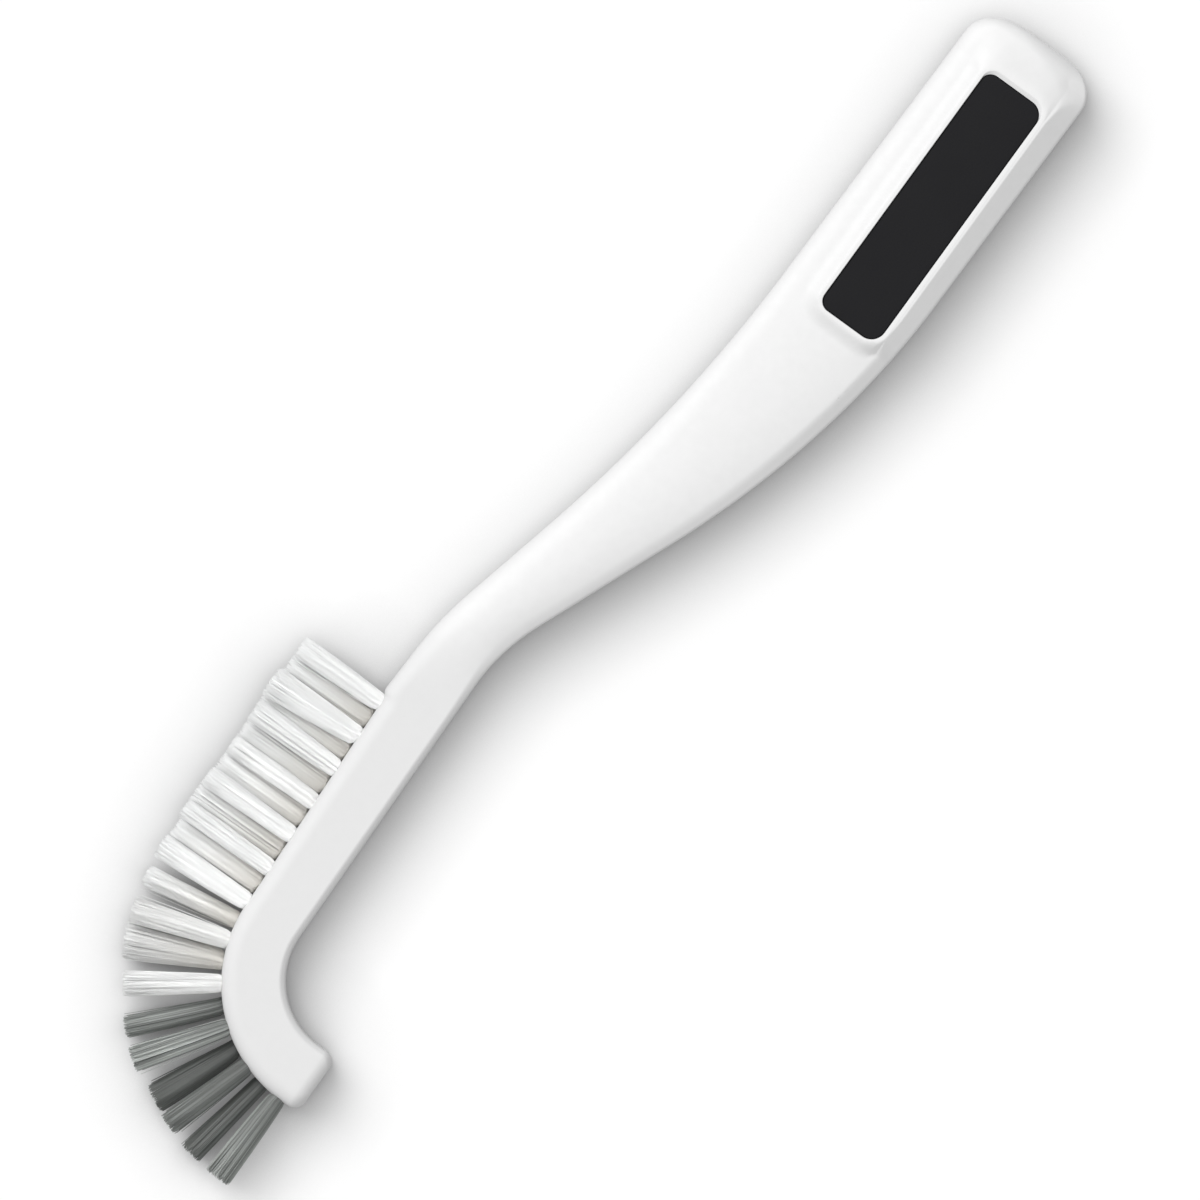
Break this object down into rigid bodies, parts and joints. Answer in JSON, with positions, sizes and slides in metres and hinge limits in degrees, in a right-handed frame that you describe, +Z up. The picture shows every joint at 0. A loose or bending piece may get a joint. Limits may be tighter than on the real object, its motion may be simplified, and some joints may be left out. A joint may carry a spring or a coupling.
{
  "type": "crevice brush",
  "caption": "Long-handled crevice brush with a soft grip panel, a slim brush block and a curved nose, set with rows of bristle tufts.",
  "frame": {"origin": "on the plane that the brush lies on, under the middle of its overall length and width", "axes": "+X along the handle from the grip to the nose, the straight bristles point to -Y, +Z up from the flat back to the face with the grip panel"},
  "size_m": [0.2667, 0.0625, 0.015],
  "materials": {
    "handle_plastic": "white moulded polypropylene, satin to semi-gloss",
    "grip_rubber": "near-black moulded thermoplastic rubber, soft matte",
    "white_bristle": "crimp-free white nylon filament, slightly translucent",
    "grey_bristle": "dark grey nylon filament, slightly translucent",
    "anchor_wire": "bright drawn flat wire"
  },
  "bodies": {
    "root": {"handle": "handle_plastic", "grip_inlay": "grip_rubber", "tuft_anchors": "anchor_wire", "white_tuft_01": "white_bristle", "white_tuft_02": "white_bristle", "white_tuft_03": "white_bristle", "white_tuft_04": "white_bristle", "white_tuft_05": "white_bristle", "white_tuft_06": "white_bristle", "white_tuft_07": "white_bristle", "white_tuft_08": "white_bristle", "white_tuft_09": "white_bristle", "white_tuft_10": "white_bristle", "white_tuft_11": "white_bristle", "white_tuft_12": "white_bristle", "white_tuft_13": "white_bristle", "white_tuft_14": "white_bristle", "white_tuft_15": "white_bristle", "white_tuft_16": "white_bristle", "white_tuft_17": "white_bristle", "grey_tuft_01": "grey_bristle", "grey_tuft_02": "grey_bristle", "grey_tuft_03": "grey_bristle", "grey_tuft_04": "grey_bristle", "grey_tuft_05": "grey_bristle", "grey_tuft_06": "grey_bristle"}
  },
  "joints": []
}
